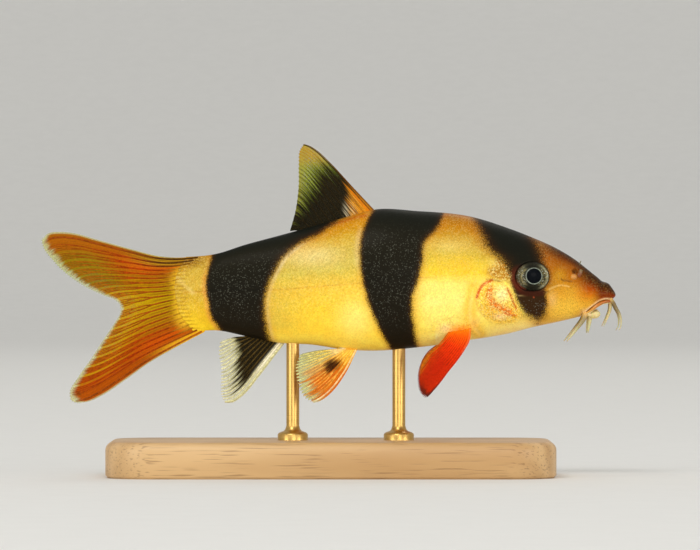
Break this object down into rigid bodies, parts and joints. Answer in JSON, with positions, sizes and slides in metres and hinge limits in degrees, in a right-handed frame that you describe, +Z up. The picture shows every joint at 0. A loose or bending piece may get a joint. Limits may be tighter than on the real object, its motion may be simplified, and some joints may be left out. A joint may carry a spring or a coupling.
{
  "type": "clown loach",
  "caption": "Young clown loach as a life-size still model, swimming level on rods over a flat wooden base, with barbels under its snout and a forked tail fin.",
  "frame": {"origin": "middle of the base's underside, below the middle of the fish's length", "axes": "+X the way the fish faces, +Y its left side, +Z up"},
  "size_m": [0.0807, 0.03, 0.0461],
  "materials": {
    "head_skin": "wet orange-brown skin with a fine golden glitter",
    "body_skin": "wet golden yellow skin with soft-edged black bands",
    "gill_cover": "pearly gold skin with red edges",
    "eye": "clear domed surface over a dark olive iris",
    "dorsal_fin": "black membrane between fine rays, clear at the tip",
    "tail_fin": "translucent orange red with branching rays",
    "anal_fin": "black at the root, pale and clear towards the edge",
    "pelvic_fin": "orange with a dark spot and a clear rear edge",
    "pectoral_fin": "translucent scarlet",
    "barbel": "pale cream flesh with fine dark specks",
    "stand_wood": "oiled pale oak",
    "stand_brass": "brushed and lacquered"
  },
  "bodies": {
    "root": {"head": "head_skin", "gill_cover_left": "gill_cover", "gill_cover_right": "gill_cover", "eye_left": "eye", "eye_right": "eye", "torso": "body_skin", "tail_stalk": "body_skin", "dorsal_fin": "dorsal_fin", "tail_fin_upper": "tail_fin", "tail_fin_lower": "tail_fin", "anal_fin": "anal_fin", "pelvic_fin_left": "pelvic_fin", "pelvic_fin_right": "pelvic_fin", "pectoral_fin_left": "pectoral_fin", "pectoral_fin_right": "pectoral_fin", "barbel_rostral_outer_left": "barbel", "barbel_rostral_outer_right": "barbel", "barbel_rostral_inner_left": "barbel", "barbel_rostral_inner_right": "barbel", "barbel_maxillary_left": "barbel", "barbel_maxillary_right": "barbel", "barbel_mandibular_left": "barbel", "barbel_mandibular_right": "barbel", "stand_base": "stand_wood", "stand_rod_front": "stand_brass", "stand_rod_rear": "stand_brass"}
  },
  "joints": []
}
